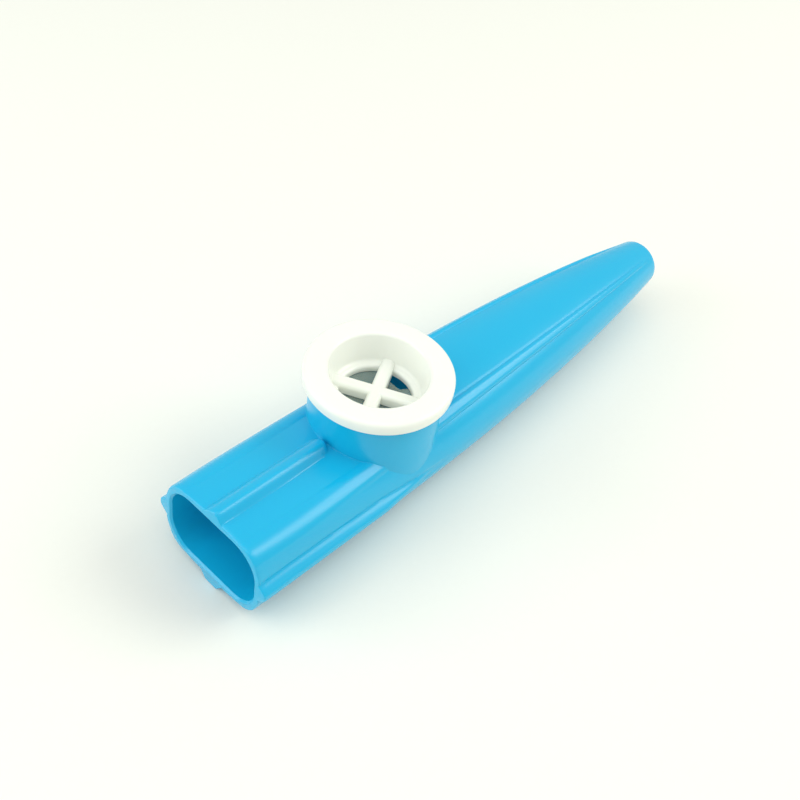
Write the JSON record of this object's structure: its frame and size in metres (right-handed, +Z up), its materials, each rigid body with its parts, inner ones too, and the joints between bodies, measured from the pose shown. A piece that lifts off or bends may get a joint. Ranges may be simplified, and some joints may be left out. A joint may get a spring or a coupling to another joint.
{
  "type": "kazoo",
  "caption": "Plastic kazoo: a hollow tapered tube with low fins, a round turret that seats a thin buzzing film, and a push-in cap with a crossed grille that holds the film down.",
  "frame": {"origin": "under the middle of the kazoo's length and width, at the height of the bottom fin's edge", "axes": "+X along the tube from the wide mouth to the small end, +Z up along the turret's axis"},
  "size_m": [0.12, 0.026, 0.0283],
  "materials": {
    "body_plastic": "injection-moulded, glossy, bright blue",
    "cap_plastic": "injection-moulded, glossy, white",
    "film_sheet": "thin milky film, slightly wrinkled"
  },
  "bodies": {
    "body": {"body": "body_plastic"},
    "cap": {"cap": "cap_plastic"},
    "film": {"film": "film_sheet"}
  },
  "joints": [
    {"name": "cap_lift", "type": "slide", "parent": "body", "child": "cap", "axis": [0, 0, 1], "range_m": [0, 0.02]},
    {"name": "film_lift", "type": "slide", "parent": "body", "child": "film", "axis": [0, 0, 1], "range_m": [0, 0.01]}
  ],
  "couplings": [
    {"joint": "film_lift", "follows": "cap_lift", "ratio": 0.5}
  ]
}
